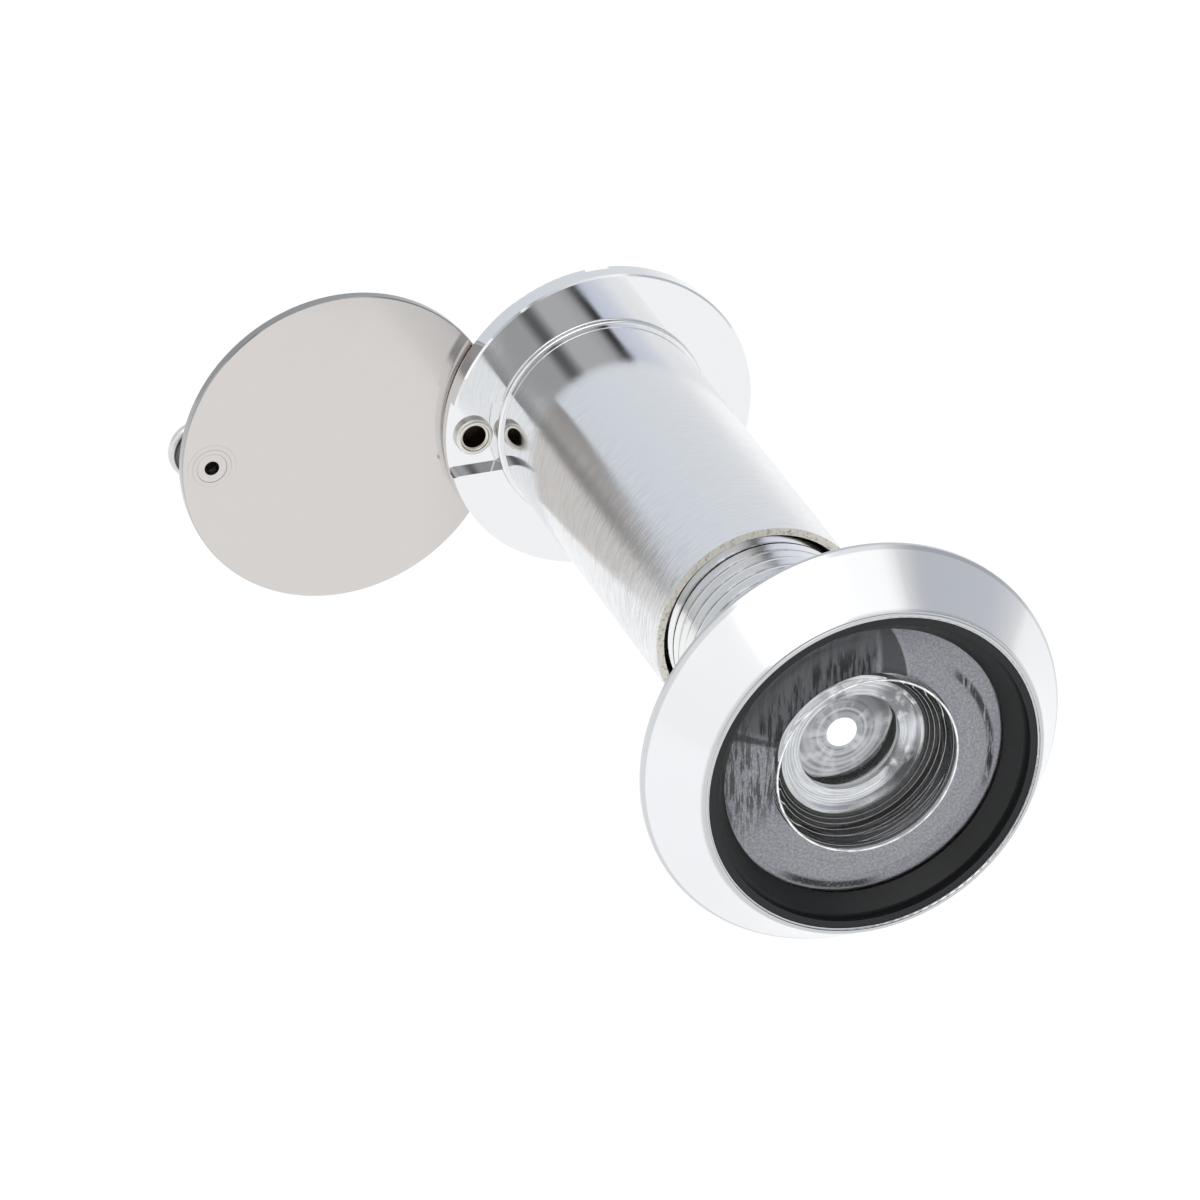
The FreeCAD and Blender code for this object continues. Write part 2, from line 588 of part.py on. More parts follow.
def cover_knob():
    """Waisted knob riveted through the cover's far side, with its shank end flush in the cover."""
    body = new_body("cover_knob")
    face = "cover_thickness + flat_gap / 2"
    head_low = face + " + knob_waist_height + knob_flare"
    head_high = head_low + " + 2 * knob_head_round + knob_head_flat"
    bore_end = "cover_thickness + knob_bore_past_cover"
    turned(body, "knob", [
        ("knob_bore_radius", "knob_shank_setback"),
        ("knob_shank_radius", "knob_shank_setback"),
        ("knob_shank_radius", face),
        ("knob_foot_radius", face),
        ("knob_foot_radius", face + " + knob_foot_height"),
        ("knob_waist_radius", face + " + knob_waist_height"),
        ("knob_radius - knob_head_round", head_low, ("left", "knob_head_round")),
        ("knob_radius", head_low + " + knob_head_round"),
        ("knob_radius", head_high + " - knob_head_round", ("left", "knob_head_round")),
        ("knob_radius - knob_head_round", head_high, ("axis",)),
        ("0", head_high + " + knob_dome"),
        ("0", bore_end),
        ("knob_bore_radius", bore_end)])
    place(body, x="-2 * %s - %s" % (PIVOT, KNOB_OFFSET), y=COVER_PLACE)


for make in (outer_housing, front_trim_ring, front_lens, second_lens_ring, second_lens, lens_spacer,
             third_lens, rear_lens_ring, inner_tube, eyepiece_lens, eyepiece_ring, pivot_rivet,
             pivot_washer, cover_disc, cover_knob):
    make()

doc.recompute()

for item in doc.Objects:
    if "Invalid" in item.State or "Error" in item.State:
        raise RuntimeError("%s did not compute: %s" % (item.Name, item.State))
for body in SUBPARTS:
    if body.Shape.isNull() or not body.Shape.isValid() or not body.Shape.Solids:
        raise RuntimeError(body.Label + " has no valid solid")

os.makedirs("parts", exist_ok=True)
for body in SUBPARTS:
    body.Shape.exportStep(os.path.join("parts", body.Label + ".step"))
    print("%-18s %8.2f mm3" % (body.Label, body.Shape.Volume))
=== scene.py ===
import math

import bpy
from mathutils import Matrix, Vector


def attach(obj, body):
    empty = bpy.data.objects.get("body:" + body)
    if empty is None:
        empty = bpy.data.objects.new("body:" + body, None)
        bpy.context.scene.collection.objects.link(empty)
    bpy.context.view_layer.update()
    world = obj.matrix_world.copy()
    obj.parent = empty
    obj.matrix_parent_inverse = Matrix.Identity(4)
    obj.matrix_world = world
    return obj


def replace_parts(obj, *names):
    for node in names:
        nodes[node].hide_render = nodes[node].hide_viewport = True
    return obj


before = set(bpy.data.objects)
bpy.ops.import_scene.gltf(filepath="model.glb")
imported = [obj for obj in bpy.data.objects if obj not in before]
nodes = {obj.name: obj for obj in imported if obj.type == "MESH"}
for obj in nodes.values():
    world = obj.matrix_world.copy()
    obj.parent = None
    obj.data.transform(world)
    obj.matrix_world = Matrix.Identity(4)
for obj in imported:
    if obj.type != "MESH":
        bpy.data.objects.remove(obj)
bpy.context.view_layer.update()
mm = 0.001
print("frame loaded:", len(nodes), "nodes")


class Value:  # a node's output that does sums: each sum adds a Math node
    def __init__(self, tree, socket):
        self.tree, self.socket = tree, socket

    def maths(self, operation, *others, first=None):
        row = [self if first is None else first, *others]
        return self.tree.node("ShaderNodeMath", {"operation": operation}, dict(enumerate(row)))

    def __add__(self, other):
        return self.maths("ADD", other)

    __radd__ = __add__

    def __mul__(self, other):
        return self.maths("MULTIPLY", other)

    __rmul__ = __mul__

    def __sub__(self, other):
        return self.maths("SUBTRACT", other)

    def __rsub__(self, other):
        return self.maths("SUBTRACT", self, first=other)

    def __truediv__(self, other):
        return self.maths("DIVIDE", other)

    def __rtruediv__(self, other):
        return self.maths("DIVIDE", self, first=other)

    def __pow__(self, other):
        return self.maths("POWER", other)

    def ramp(self, low, high, toLow=0.0, toHigh=1.0):  # a soft step from low to high
        sockets = {0: self, 1: low, 2: high, 3: toLow, 4: toHigh}
        return self.tree.node("ShaderNodeMapRange", {"interpolation_type": "SMOOTHSTEP"}, sockets)

    def inside(self, low, high, edge):  # 1 between low and high, with soft edges
        return self.ramp(low - edge, low + edge) * self.ramp(high - edge, high + edge, 1.0, 0.0)


class Tree:  # a node tree, and the one way nodes get into it
    def __init__(self, nodeTree):
        self.nodes, self.links = nodeTree.nodes, nodeTree.links
        self.nodes.clear()

    def node(self, kind, settings=None, sockets=None, output=0):
        made = self.nodes.new(kind)
        for name, value in (settings or {}).items():
            if name == "stops":
                setStops(made.color_ramp, value)
            elif name == "blend":
                made.color_ramp.interpolation = value
            else:
                setattr(made, name, value)
        for key, value in (sockets or {}).items():
            if isinstance(value, Value):
                self.links.new(value.socket, made.inputs[key])
            else:
                made.inputs[key].default_value = value
        return Value(self, made.outputs[output]) if made.outputs else made

    def mix(self, factor, low, high):  # colours go through Mix, never Math
        return self.node("ShaderNodeMix", {"data_type": "RGBA"}, {0: factor, 6: low, 7: high}, 2)

    def join(self, x, y, z):
        return self.node("ShaderNodeCombineXYZ", None, {0: x, 1: y, 2: z})


def setStops(colorRamp, stops):
    while len(colorRamp.elements) > 1:
        colorRamp.elements.remove(colorRamp.elements[-1])
    for index, (place, color) in enumerate(stops):
        stop = colorRamp.elements[0] if index == 0 else colorRamp.elements.new(place)
        stop.position = place
        stop.color = rgba(color)


def rgba(color):
    if isinstance(color, (int, float)):
        color = (color,) * 3
    return (*color[:3], 1.0)


class Finish(Tree):  # a material whose patterns read the row frame in millimetres
    def __init__(self, name):
        self.material = bpy.data.materials.new(name)
        self.material.use_nodes = True
        super().__init__(self.material.node_tree)
        place = self.node("ShaderNodeTexCoord", None, None, 3)
        self.place = self.node("ShaderNodeVectorMath", {"operation": "SCALE"}, {0: place, 3: 1 / mm})
        self.x, self.y, self.z = (
            self.node("ShaderNodeSeparateXYZ", None, {0: self.place}, axis) for axis in range(3))
        self.radius = (self.x ** 2 + self.z ** 2) ** 0.5
        self.angle = self.z.maths("ARCTAN2", self.x) * (180 / math.pi)  # 0 at +X, 90 at +Z

    def noise(self, where, scale, detail=3.0, roughness=0.55):
        return self.node("ShaderNodeTexNoise", None, {
            "Vector": where, "Scale": scale, "Detail": detail, "Roughness": roughness})

    def aroundGrain(self, along, around):  # fine lines that run round the Y axis
        where = self.join(self.x * around, self.y * along, self.z * around)
        return self.noise(where, 1.0, 4.0, 0.65)

    def faceGrain(self, fine, around, centre=(0.0, 0.0)):  # turning marks on a flat face
        x, z = self.x - centre[0], self.z - centre[1]
        radius = (x ** 2 + z ** 2) ** 0.5
        where = self.join(radius * fine, x * around, z * around)
        return self.noise(where, 1.0, 3.0, 0.6)

    def bump(self, height, depth, strength=1.0):  # depth in millimetres
        return self.node("ShaderNodeBump", None, {
            "Height": height, "Distance": depth * mm, "Strength": strength})

    def surface(self, **inputs):
        shader = self.node("ShaderNodeBsdfPrincipled", None, {
            key[0].upper() + key[1:].replace("_", " "): value for key, value in inputs.items()})
        self.node("ShaderNodeOutputMaterial", None, {"Surface": shader})
        return self.material


def paint(name, material):
    for materialSlot in nodes[name].material_slots:
        materialSlot.material = material


viewPoint = {
    "target": (-7.419, 1.885, -1.446), "distance": 572.49,
    "azimuth": 20.265, "elevation": 28.999, "roll": 0.684,
    "lens": 272.44, "sensor": 36.0}


def makeCamera(v):
    azimuth, elevation, roll = (math.radians(v[key]) for key in ("azimuth", "elevation", "roll"))
    forward = Vector((
        math.sin(azimuth) * math.cos(elevation), math.cos(azimuth) * math.cos(elevation), -math.sin(elevation)))
    right = forward.cross(Vector((0, 0, 1))).normalized()
    up = right.cross(forward)
    across = right * math.cos(roll) + up * math.sin(roll)
    above = up * math.cos(roll) - right * math.sin(roll)
    lens = bpy.data.cameras.new("camera")
    lens.lens, lens.sensor_width = v["lens"], v["sensor"]
    lens.clip_start, lens.clip_end = 0.01, 20.0
    camera = bpy.data.objects.new("camera", lens)
    bpy.context.scene.collection.objects.link(camera)
    turn = Matrix((across, above, -forward)).transposed().to_4x4()
    camera.matrix_world = Matrix.Translation((Vector(v["target"]) - forward * v["distance"]) * mm) @ turn
    bpy.context.scene.camera = camera


makeCamera(viewPoint)
bpy.context.scene.view_settings.view_transform = "Standard"
print("camera made")


# The room's brightness by direction: degrees round the Y axis from +X over +Z, on three rings.
studio = {
    "front": [
        (-60, 1.0), (10, 1.0), (30, (0.8, 0.83, 0.92)), (49, (0.7, 0.73, 0.84)), (53, 0.1), (56, 0.03),
        (60, 0.1), (68, 0.44), (80, 0.52), (104, 0.52), (112, 0.2), (116, 0.12), (121, 0.14), (129, 0.42),
        (150, 0.42), (172, 0.46), (184, 0.34), (187, 0.01), (190, 0.01), (194, 0.55), (212, 0.85),
        (250, 1.0)],
    "middle": [
        (-60, 0.97), (-25, 0.92), (-5, 0.78), (12, (0.56, 0.58, 0.62)), (47, (0.52, 0.54, 0.58)),
        (54, 0.75), (60, 1.15), (90, 1.15), (125, 1.05), (190, 1.0), (215, 0.97), (250, 0.95)],
    "back": [
        (-60, 1.0), (-8, 1.0), (24, (0.8, 0.81, 0.84)), (90, (0.73, 0.765, 0.805)),
        (150, (0.7, 0.735, 0.78)), (185, 0.8), (230, 0.95)],
    "ringEdge": (0.38, 0.62), "strength": 1.0, "shown": 1.0}


def makeRoom(s):
    world = bpy.data.worlds.new("studio")
    bpy.context.scene.world = world
    world.use_nodes = True
    tree = Tree(world.node_tree)
    way = tree.node("ShaderNodeTexCoord", None, None, 0)
    x, y, z = (tree.node("ShaderNodeSeparateXYZ", None, {0: way}, axis) for axis in range(3))
    ragged = tree.node("ShaderNodeTexNoise", None, {
        "Vector": tree.join(x * 5, y * 60, z * 5), "Scale": 1.0, "Detail": 4.0, "Roughness": 0.7})
    turn = (z.maths("ARCTAN2", x) / math.radians(360) + (ragged - 0.5) * 0.02 + 1.25).maths("FRACT")
    rings = {}
    for name in ("front", "middle", "back"):
        stops = sorted((((degrees + 90) / 360), color) for degrees, color in s[name])
        rings[name] = tree.node("ShaderNodeValToRGB", {"stops": stops, "blend": "LINEAR"}, {0: turn})
    low, high = s["ringEdge"]
    color = tree.mix(y.ramp(low, high), rings["middle"], rings["back"])
    color = tree.mix(y.ramp(-high, -low, 1.0, 0.0), color, rings["front"])
    seen = tree.node("ShaderNodeLightPath", None, None, 0)
    room = tree.node("ShaderNodeBackground", None, {"Color": color, "Strength": s["strength"]})
    shown = tree.node("ShaderNodeBackground", None, {"Color": rgba(1.0), "Strength": s["shown"]})
    both = tree.node("ShaderNodeMixShader", None, {0: seen, 1: room, 2: shown})
    tree.node("ShaderNodeOutputWorld", None, {"Surface": both})


def makeFloor():
    drop, reach = -0.075, 1.2
    mesh = bpy.data.meshes.new("floor")
    corners = [(-reach, -reach, drop), (reach, -reach, drop), (reach, reach, drop), (-reach, reach, drop)]
    mesh.from_pydata(corners, [], [(0, 1, 2, 3)])
    floor = bpy.data.objects.new("floor", mesh)
    bpy.context.scene.collection.objects.link(floor)
    finish = Finish("floor_paper")
    grain = finish.noise(finish.place, 0.6, 2.0)
    paper = finish.mix(grain, rgba(0.6), rgba(0.57))
    mesh.materials.append(finish.surface(
        base_Color=paper, roughness=0.9, emission_Color=paper, emission_Strength=0.82))


lamps = {
    "overhead": {"place": (-0.25, -0.1, 0.75), "aim": (0, 0, 0), "size": (0.6, 0.6), "watts": 0.8},
    "front_left": {"place": (-0.7, -0.6, 0.3), "aim": (0, 0, 0), "size": (0.5, 0.4), "watts": 0.25},
}


def makeLamps():
    for name, l in lamps.items():
        light = bpy.data.lights.new(name, "AREA")
        light.shape = "RECTANGLE"
        light.size, light.size_y = l["size"]
        light.energy = l["watts"]
        lamp = bpy.data.objects.new(name, light)
        lamp.location = l["place"]
        lamp.rotation_mode = "QUATERNION"
        lamp.rotation_quaternion = (Vector(l["aim"]) - Vector(l["place"])).to_track_quat("-Z", "Y")
        bpy.context.scene.collection.objects.link(lamp)


makeRoom(studio)
makeFloor()
makeLamps()
print("studio made")


housing = {
    "bezelColor": (0.85, 0.855, 0.87), "bezelRough": 0.17,
    "seatColor": (0.17, 0.166, 0.182), "seatPale": (0.64, 0.63, 0.66),
    "bandColor": (0.075, 0.077, 0.08), "threadColor": (0.86, 0.86, 0.86)}


def housingFinish(h):
    f = Finish("satin_silver_housing")
    back = -22.15  # the bezel's back face
    behind = f.y.ramp(back - 0.25, back - 0.15) * f.radius.ramp(5.3, 5.5)
    outside = f.radius.ramp(10.68, 10.72).maths("MAXIMUM", behind)
    bezel = f.y.ramp(back + 0.02, back + 0.06, 1.0, 0.0)
    # satin bezel: very fine grain and a hint of colour drift
    drift = f.noise(f.place, 0.35, 2.0)
    satin = f.mix(drift * 0.25, rgba(h["bezelColor"]), rgba((0.81, 0.825, 0.845)))
    lip = f.radius.ramp(11.1, 11.25, 0.85, 0.0) * f.y.ramp(-26.0, -25.9, 1.0, 0.0)
    satin = f.mix(lip, satin, rgba((0.55, 0.56, 0.57)))
    satin = f.mix(f.radius.ramp(13.42, 13.5, 0.0, 0.6), satin, rgba((0.5, 0.52, 0.54)))
    satinRough = drift * 0.06 + (h["bezelRough"] - 0.03)
    # bright threads outside the barrel, with painted shade darkening their valleys, broken up by noise
    grain = f.aroundGrain(9.0, 1.2)
    valley = f.radius.ramp(5.66, 5.86, 1.0, 0.0)
    valleyShadeNoise = f.noise(f.place, 1.7, 4.0)
    threads = f.mix(
        # painted shade: the thread valleys are drawn dark
        valley * valleyShadeNoise.ramp(0.3, 0.6, 0.6, 0.95), rgba(h["threadColor"]), rgba((0.06, 0.055, 0.05)))
    threadRough = grain * 0.15 + 0.08
    # the dark seat under the front lens: turning marks, a brushed arc, a wedge and dark crescent and lower
    # patches
    marks = f.faceGrain(14.0, 0.25)
    hatch = f.noise(f.join(f.x * 4.5, f.y * 0.1, f.z * 0.5), 1.0, 3.0, 0.7)
    speck = f.noise(f.place, 6.0, 4.0, 0.75)
    seat = f.mix(marks * 0.35 + speck.ramp(0.35, 0.7) * 0.4, rgba(h["seatColor"]), rgba(h["seatPale"]))
    upper = f.angle.inside(84.0, 158.0, 3.0)
    left = (f.angle.maths("ABSOLUTE") - 180).maths("ABSOLUTE").ramp(8.0, 38.0, 1.0, 0.0)
    seat = f.mix(upper * 0.75, seat, rgba(h["bandColor"]))
    brushed = upper * f.radius.ramp(7.0, 8.2, 1.0, 0.2) * hatch.ramp(0.44, 0.56, 1.0, 0.1)
    brushed = brushed + left * hatch.ramp(0.44, 0.54, 0.8, 0.0)
    seat = f.mix(brushed.maths("MINIMUM", 1.0) * 0.93, seat, rgba(0.01))
    wedgeLow = f.radius * 5.4 + 31.6
    wedgeHigh = f.radius * 1.3 + 73.4
    wedge = (f.angle - wedgeLow).ramp(-0.6, 0.6) * (f.angle - wedgeHigh).ramp(-2.0, 1.0, 1.0, 0.0)
    seat = f.mix(wedge * 0.8, seat, rgba((0.018, 0.019, 0.02)))
    glint = (f.angle - wedgeLow).inside(-2.2, -0.4, 0.5)
    seat = f.mix(glint * 0.5, seat, rgba((0.4, 0.4, 0.42)))
    tick = (f.angle - 160).maths("ABSOLUTE").ramp(0.8, 2.6, 1.0, 0.0) * speck.ramp(0.3, 0.5)
    seat = f.mix(tick * 0.8, seat, rgba(0.015))
    bow = f.radius + f.angle * 0.016 - 8.3
    crescent = bow.inside(-0.32, 0.14, 0.12) * f.angle.inside(-20.0, 40.0, 7.0) * hatch.ramp(0.36, 0.5)
    lowerDarkPatch = f.radius.inside(8.35, 8.85, 0.12) * f.angle.inside(-124.0, -84.0, 6.0) * speck.ramp(0.34, 0.5)
    seat = f.mix((crescent + lowerDarkPatch) * 0.9, seat, rgba(0.008))
    throat = f.mix(marks, rgba(0.002), rgba(0.006))
    inner = f.mix(f.radius.ramp(5.86, 5.92), throat, seat)
    deep = f.y.ramp(-22.56, -22.54)
    inner = f.mix(deep, inner, rgba(0.3))
    front = f.mix(outside, inner, satin)
    color = f.mix(bezel, threads, front)
    seatRough = marks * 0.2 + f.radius.ramp(5.8, 5.95, 0.7, 0.24)
    bezelRough = outside * satinRough + (1 - outside) * seatRough
    rough = bezelRough * bezel + threadRough * (1 - bezel)
    satinBump = bezel * outside * f.noise(f.place, 14.0, 2.0) * 0.3
    height = satinBump + (1 - outside) * bezel * marks + grain * (1 - bezel)
    return f.surface(
        base_Color=color, metallic=1.0, roughness=rough, normal=f.bump(height, 0.0025))


tube = {"color": (0.84, 0.85, 0.86), "polished": 0.05, "brushed": 0.13}


def tubeFinish(t):
    f = Finish("tube_chrome")
    mouth, flange = -7.2, 22.15
    grain = f.aroundGrain(9.0, 0.8)
    fine = f.aroundGrain(24.0, 2.0)
    worn = f.y.ramp(mouth + 4.0, flange - 4.0, 1.0, 0.45) * f.y.ramp(flange - 5.5, flange - 1.5, 1.0, 0.1)
    side = f.radius.ramp(6.97, 6.99)
    endFace = (1 - side) * f.y.ramp(mouth + 0.03, mouth + 0.08, 1.0, 0.0)
    scratches = f.noise(f.join(f.x * 1.5, f.y, f.z * 1.5), 3.0, 5.0, 0.75)
    lines = grain.ramp(0.42, 0.62)
    # grain lines drawn darker on the left and lower side: real grain, with painted reflection darkening that
    # side
    lower = f.angle.maths("ABSOLUTE").ramp(118.0, 150.0) + f.z.ramp(-1.0, 0.0, 1.0, 0.0)
    reflectedSideWeight = lower.maths("MINIMUM", 1.0) * f.y.ramp(mouth, flange - 6.0, 0.5, 0.25) * f.y.ramp(
        flange - 1.0, flange - 0.6, 1.0, 0.0)
    chrome = f.mix(lines * (worn * 0.1 + reflectedSideWeight), rgba(t["color"]), rgba((0.5, 0.505, 0.52)))
    ends = f.mix(scratches.ramp(0.5, 0.68), rgba((0.93, 0.9, 0.8)), rgba((0.4, 0.38, 0.32)))
    # painted shade: the inside of the tube's bore is drawn near black
    inside = (1 - side) * f.y.ramp(mouth + 0.05, mouth + 0.1) * f.y.ramp(flange - 0.1, flange, 1.0, 0.0)
    color = f.mix(endFace, chrome, ends)
    color = f.mix(inside, color, rgba((0.035, 0.034, 0.03)))
    rough = worn * (t["brushed"] - t["polished"]) + t["polished"] + endFace * 0.15 + lines * worn * 0.08
    height = (grain * 0.6 + fine * 0.4) * worn
    return f.surface(
        base_Color=color, metallic=1 - endFace * 0.8, roughness=rough, normal=f.bump(height, 0.011))


def ringFinish():
    f = Finish("satin_black_ring")
    marks = f.faceGrain(9.0, 0.2)
    dust = f.noise(f.place, 5.0, 4.0, 0.7)
    color = f.mix(dust.ramp(0.5, 0.75) * 0.3, rgba((0.011, 0.012, 0.013)), rgba((0.03, 0.031, 0.033)))
    return f.surface(
        base_Color=color, roughness=marks * 0.12 + 0.34, specular_IOR_Level=0.35,
        normal=f.bump(marks, 0.002))


def glassFinish(name, tint, ior, roughness=0.0):
    f = Finish(name)
    film = f.noise(f.place, 0.25, 2.0)
    color = f.mix(film * 0.5, rgba(tint), rgba((0.97, 0.98, 1.0)))
    return f.surface(
        base_Color=color, roughness=roughness, iOR=ior, specular_Tint=rgba(0.25), transmission_Weight=1.0)


def turnedFinish(name, light, dark, rough, centre=(0.0, 0.0), bore=None, shadedArcs=(), glow=0.0):
    f = Finish(name)
    marks = f.faceGrain(16.0, 0.3, centre)
    cloud = f.noise(f.place, 1.1, 3.0)
    color = f.mix(marks.ramp(0.35, 0.65) * 0.6 + cloud * 0.2, rgba(light), rgba(dark))
    for low, high in shadedArcs:  # painted shade: dull patches between two angles
        shadePatch = f.angle.inside(low, high, 11.0) * cloud.ramp(0.3, 0.55)
        color = f.mix(shadePatch * 0.75, color, rgba(0.1))
    if bore:  # painted shade darkens the hole down the middle
        x, z = f.x - centre[0], f.z - centre[1]
        hole = ((x ** 2 + z ** 2) ** 0.5).ramp(bore - 0.03, bore, 1.0, 0.0)
        color = f.mix(hole, color, rgba((0.1, 0.08, 0.06)))
    lit = {"emission_Color": f.mix(marks, rgba(0.9), rgba(0.5)), "emission_Strength": glow} if glow else {}
    return f.surface(
        base_Color=color, metallic=1.0, roughness=marks * 0.14 + rough, normal=f.bump(marks, 0.002), **lit)


def lensReflectionFinish():  # a painted reflection: a glowing line standing in for the bright reflection round the front lens's hollow
    f = Finish("painted_lens_reflection")
    shine = f.noise(f.place, 1.2, 3.0)
    color = f.mix(shine, rgba(0.95), rgba(0.7))
    glow = f.mix(shine.ramp(0.35, 0.65), rgba(0.75), rgba(0.3))
    return f.surface(
        base_Color=color, metallic=1.0, roughness=shine * 0.2 + 0.15, emission_Color=glow,
        emission_Strength=0.8)


cover = {"middle": -17.2, "knob": -26.0, "face": (0.68, 0.64, 0.61), "cloud": (0.63, 0.605, 0.58)}


def coverFace(f, c):  # colour of the cover's flat faces, also on the knob's flush end
    cloud = f.noise(f.place, 0.5, 3.0)
    tint = f.mix(f.noise(f.place, 0.9, 1.0), rgba((0.68, 0.63, 0.62)), rgba((0.65, 0.65, 0.62)))
    face = f.mix(cloud * 0.4, rgba(c["face"]), rgba(c["cloud"]))
    return f.mix(0.35, face, tint), cloud


def coverFinish(c):
    f = Finish("cover_satin")
    marks = f.faceGrain(7.0, 0.05, (c["middle"], 0.0))
    grit = f.noise(f.place, 22.0, 2.0)
    x = f.x - c["middle"]
    reach = (x ** 2 + f.z ** 2) ** 0.5
    face, cloud = coverFace(f, c)
    # painted shade: the cover's edge band darker, most towards the top
    face = f.mix(reach.ramp(10.72, 10.78) * f.z.ramp(-6.0, 6.0, 0.3, 1.0), face, rgba((0.36, 0.36, 0.355)))
    # painted reflection of the tube: the face darker towards the flange
    face = f.mix(f.x.ramp(-12.5, -7.0, 0.0, 0.35), face, rgba((0.5, 0.48, 0.47)))
    fromKnob = ((f.x - c["knob"]) ** 2 + f.z ** 2) ** 0.5
    # dark rings round the knob, made darker towards the top as painted shade
    rings = fromKnob.inside(1.28, 1.36, 0.05) + fromKnob.inside(1.62, 1.68, 0.04) * 0.6
    face = f.mix(rings * f.z.ramp(-1.4, 1.2, 0.08, 0.4), face, rgba(0.28))
    color = f.mix(marks * 0.12, face, rgba((0.5, 0.48, 0.47)))
    return f.surface(
        base_Color=color, metallic=1.0, roughness=cloud * 0.04 + 0.11,
        normal=f.bump(marks * 0.6 + grit * 0.5, 0.0015))


def knobFinish(c):
    f = Finish("knob_nickel")
    marks = f.faceGrain(16.0, 0.3, (c["knob"], 0.0))
    cloud = f.noise(f.place, 1.1, 3.0)
    fromKnob = ((f.x - c["knob"]) ** 2 + f.z ** 2) ** 0.5
    worn = marks.ramp(0.35, 0.65) * 0.6 + cloud * 0.2
    metal = f.mix(worn, rgba((0.84, 0.83, 0.81)), rgba((0.55, 0.54, 0.53)))
    # painted shade on the knob's neck and under its head
    neckShade = fromKnob.ramp(1.78, 1.88, 1.0, 0.0) * f.y.inside(24.64, 26.9, 0.03)
    metal = f.mix(neckShade * 0.95, metal, rgba(0.085))
    flush, _ = coverFace(f, c)
    flush = f.mix(fromKnob.inside(0.98, 1.06, 0.04) * 0.1, flush, rgba(0.3))
    # painted shade: the hole down the knob's middle is drawn darker than its face
    flush = f.mix(fromKnob.ramp(0.5, 0.52, 1.0, 0.0), flush, rgba(0.45))
    color = f.mix(f.y.ramp(24.2, 24.4, 1.0, 0.0), metal, flush)
    return f.surface(
        base_Color=color, metallic=1.0, roughness=marks * 0.14 + 0.16, normal=f.bump(marks, 0.002))


paint("outer_housing", housingFinish(housing))
paint("inner_tube", tubeFinish(tube))
paint("front_trim_ring", ringFinish())
paint("second_lens_ring", turnedFinish(
    "bright_turned_ring", (0.88, 0.88, 0.88), (0.4, 0.4, 0.41), 0.16,
    shadedArcs=((18.0, 62.0), (-50.0, -12.0), (96, 116))))
sleeveMetal = turnedFinish("turned_nickel", (0.7, 0.7, 0.68), (0.4, 0.4, 0.39), 0.22)
paint("lens_spacer", turnedFinish("lit_turned_sleeve", (0.8, 0.8, 0.8), (0.4, 0.4, 0.4), 0.2, glow=0.42))
for name in ("rear_lens_ring", "eyepiece_ring", "pivot_washer"):
    paint(name, sleeveMetal)
paint("cover_disc", coverFinish(cover))
paint("pivot_rivet", turnedFinish(
    "rivet_nickel", (0.86, 0.84, 0.78), (0.62, 0.6, 0.54), 0.3, centre=(-8.6, 0.0), bore=0.82))
paint("cover_knob", knobFinish(cover))
print("finishes made")


def link(name, mesh, body):
    piece = bpy.data.objects.new(name, mesh)
    bpy.context.scene.collection.objects.link(piece)
    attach(piece, body)
    return piece


def ringTree(material):
    group = bpy.data.node_groups.new("ring stack", "GeometryNodeTree")
    face = group.interface
    face.new_socket("Geometry", in_out="OUTPUT", socket_type="NodeSocketGeometry")
    for name in ("Start Radius", "End Radius", "Start Depth", "End Depth", "Wire"):
        face.new_socket(name, in_out="INPUT", socket_type="NodeSocketFloat")
    face.new_socket("Count", in_out="INPUT", socket_type="NodeSocketInt")
    tree = Tree(group)
    given = {item.name: Value(tree, None) for item in face.items_tree if item.in_out == "INPUT"}
    source = group.nodes.new("NodeGroupInput")
    for name, value in given.items():
        value.socket = source.outputs[name]
    loop = tree.node("GeometryNodeCurvePrimitiveCircle", None, {"Resolution": 96, "Radius": 1.0})
    section = tree.node("GeometryNodeCurvePrimitiveCircle", None, {"Resolution": 8, "Radius": given["Wire"]})
    ring = tree.node("GeometryNodeCurveToMesh", None, {"Curve": loop, "Profile Curve": section})
    line = tree.node("GeometryNodeMeshLine", {"mode": "END_POINTS"}, {
        "Count": given["Count"], "Start Location": tree.join(0.0, given["Start Depth"], 0.0),
        "Offset": tree.join(0.0, given["End Depth"], 0.0)})
    index = tree.node("GeometryNodeInputIndex")
    share = index / (given["Count"] - 1).maths("MAXIMUM", 1.0)
    size = given["Start Radius"] + share * (given["End Radius"] - given["Start Radius"])
    placed = tree.node("GeometryNodeInstanceOnPoints", None, {
        "Points": line, "Instance": ring, "Rotation": (math.pi / 2, 0.0, 0.0),
        "Scale": tree.join(size, size, size)})
    solid = tree.node("GeometryNodeRealizeInstances", None, {"Geometry": placed})
    finished = tree.node("GeometryNodeSetMaterial", None, {"Geometry": solid, "Material": material})
    tree.node("NodeGroupOutput", None, {"Geometry": finished})
    return group


def ringStack(name, r):
    group = ringTree(r["finish"])
    mesh = bpy.data.meshes.new(name)
    shell = bpy.data.objects.new(name + "_nodes", mesh)
    bpy.context.scene.collection.objects.link(shell)
    modifier = shell.modifiers.new("rings", "NODES")
    modifier.node_group = group
    for item in group.interface.items_tree:
        if item.in_out == "INPUT":
            unit = 1 if item.name in ("Count", "Wire") else mm
            modifier[item.identifier] = r[item.name] * unit
    graph = bpy.context.evaluated_depsgraph_get()
    made = bpy.data.meshes.new_from_object(shell.evaluated_get(graph), depsgraph=graph)
    made.name = name
    bpy.data.objects.remove(shell)
    made.shade_smooth()
    return link(name, made, r["body"])


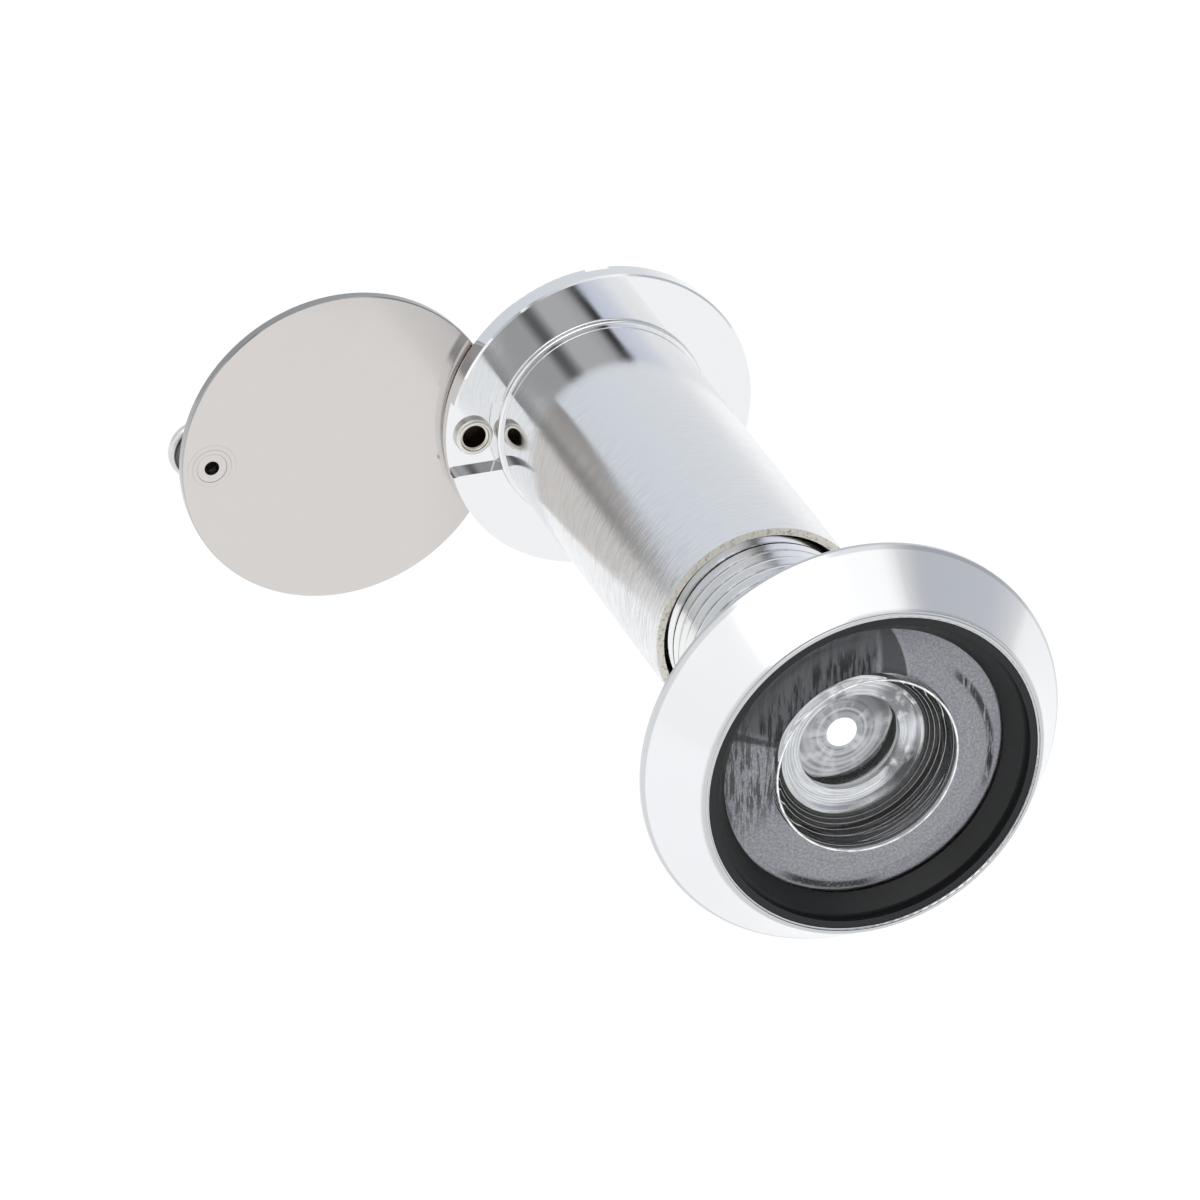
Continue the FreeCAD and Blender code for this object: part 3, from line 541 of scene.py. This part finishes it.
lensReflectionLine = lensReflectionFinish()
brightWire = turnedFinish("bright_ring_wire", (0.93, 0.93, 0.93), (0.7, 0.7, 0.7), 0.12)
throatLines = {
    "Start Radius": 5.8, "End Radius": 5.14, "Start Depth": -23.95, "End Depth": -22.7, "Wire": 0.0028,
    "Count": 5, "finish": brightWire, "body": "outer_unit", "slot": "polished_chrome"}
ringStack("throat_thread_lines", throatLines)
# a glowing ring that paints the reflection round the front lens's hollow
lensReflectionRing = {
    "Start Radius": 5.84, "End Radius": 5.84, "Start Depth": -25.15, "End Depth": -25.15, "Wire": 0.013,
    "Count": 1, "finish": lensReflectionLine, "body": "outer_unit", "slot": "polished_chrome"}
ringStack("lens_bowl_ring", lensReflectionRing)
collarBead = {
    "Start Radius": 7.07, "End Radius": 7.07, "Start Depth": 21.95, "End Depth": 21.95, "Wire": 0.026,
    "Count": 1, "finish": brightWire, "body": "inner_unit", "slot": "polished_chrome"}
ringStack("tube_collar_bead", collarBead)
print("ring stacks made")


# each dome or hollow is (edge radius, edge depth, depth on the axis)
lenses = {
    "front_lens": {"front": (9.1, -24.75, -26.25), "rim": 9.6, "rear": (5.6, -24.17, -25.35),
        "body": "outer_unit"},
    "second_lens": {"front": (3.46, -21.4, -21.85), "rim": 4.86, "rear": (3.7, -19.8, -21.0),
        "body": "outer_unit"},
    "third_lens": {"front": (3.7, -15.96, -15.26), "rim": 4.86, "rear": (3.7, -13.96, -14.66),
        "body": "outer_unit"},
    "eyepiece_lens": {"front": (4.06, 21.53, 21.08), "rim": 5.16, "rear": (3.96, 22.73, 23.18),
        "body": "eyepiece_unit"},
}


def bowed(edge, edgeDepth, middle, steps=28):  # an arc from the axis out to the edge
    sag = edgeDepth - middle
    curve = (edge ** 2 + sag ** 2) / (2 * abs(sag))
    widest = math.asin(edge / curve)
    side = math.copysign(1, sag)
    return [
        (curve * math.sin(widest * step / steps), middle + side * curve * (1 - math.cos(widest * step / steps)))
        for step in range(steps + 1)]


def spun(name, outline, around=144):  # outline runs from the front of the axis to its back
    corners, faces = [(0.0, outline[0][1] * mm, 0.0), (0.0, outline[-1][1] * mm, 0.0)], []
    for radius, depth in outline[1:-1]:
        for step in range(around):
            turn = 2 * math.pi * step / around
            corners.append((radius * math.cos(turn) * mm, depth * mm, radius * math.sin(turn) * mm))
    last = len(outline) - 3
    for step in range(around):
        after = (step + 1) % around
        faces.append((0, 2 + step, 2 + after))
        for ring in range(last):
            low, high = 2 + ring * around, 2 + (ring + 1) * around
            faces.append((low + step, high + step, high + after, low + after))
        faces.append((2 + last * around + step, 1, 2 + last * around + after))
    mesh = bpy.data.meshes.new(name)
    mesh.from_pydata(corners, [], faces)
    mesh.update()
    mesh.shade_smooth()
    mesh.set_sharp_from_angle(angle=math.radians(30))
    return mesh


frontGlass = glassFinish("front_lens_glass", (0.96, 0.975, 0.985), 1.5)
innerGlass = glassFinish("inner_lens_glass", (0.97, 0.98, 0.98), 1.5)
for name, l in lenses.items():
    front, rear = bowed(*l["front"]), bowed(*l["rear"])
    rim = [(l["rim"], l["front"][1]), (l["rim"], l["rear"][1])]
    mesh = spun(name + "_glass", front + rim + rear[::-1])
    mesh.materials.append(frontGlass if name == "front_lens" else innerGlass)
    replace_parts(link(name + "_glass", mesh, l["body"]), name)
print("lenses made")


daylight = {"radius": 3.74, "hole": 1.12, "at": -19.72, "glow": 1.0}


def daylightDisc(d):
    rings, around = 12, 72
    corners = [(0.0, d["at"] * mm, 0.0)]
    for ring in range(1, rings + 1):
        reach = d["radius"] * ring / rings
        for step in range(around):
            turn = 2 * math.pi * step / around
            corners.append((reach * math.cos(turn) * mm, d["at"] * mm, reach * math.sin(turn) * mm))
    faces = [(0, 1 + step, 1 + (step + 1) % around) for step in range(around)]
    for ring in range(1, rings):
        low, high = 1 + (ring - 1) * around, 1 + ring * around
        for step in range(around):
            after = (step + 1) % around
            faces.append((low + step, high + step, high + after, low + after))
    mesh = bpy.data.meshes.new("eyepiece_daylight")
    mesh.from_pydata(corners, [], faces)
    mesh.update()
    f = Finish("eyepiece_daylight")
    rings = f.faceGrain(3.2, 0.05)
    smear = f.noise(f.join(f.angle * 0.03, f.radius * 0.4, 0.0), 1.0, 3.0)
    # the disc's glow paints the light seen through the eyepiece: rings and lighter streaks, with painted shade
    # at the upper right
    glass = f.mix(rings.ramp(0.38, 0.62), rgba((0.2, 0.2, 0.21)), rgba((0.5, 0.5, 0.51)))
    glass = f.mix(smear.ramp(0.45, 0.65) * 0.6, glass, rgba((0.7, 0.7, 0.71)))
    shade = f.angle.inside(15.0, 75.0, 14.0) * f.radius.ramp(1.6, 2.8)
    glass = f.mix(shade * 0.75, glass, rgba((0.08, 0.08, 0.085)))
    glow = f.mix(f.radius.ramp(d["hole"] - 0.06, d["hole"] + 0.02), rgba(1.4), glass)
    mesh.materials.append(f.surface(
        base_Color=rgba(0.02), roughness=rings * 0.2 + 0.5, emission_Color=glow, emission_Strength=d["glow"]))
    return link("eyepiece_daylight", mesh, "outer_unit")


daylightDisc(daylight)
print("extra pieces made")
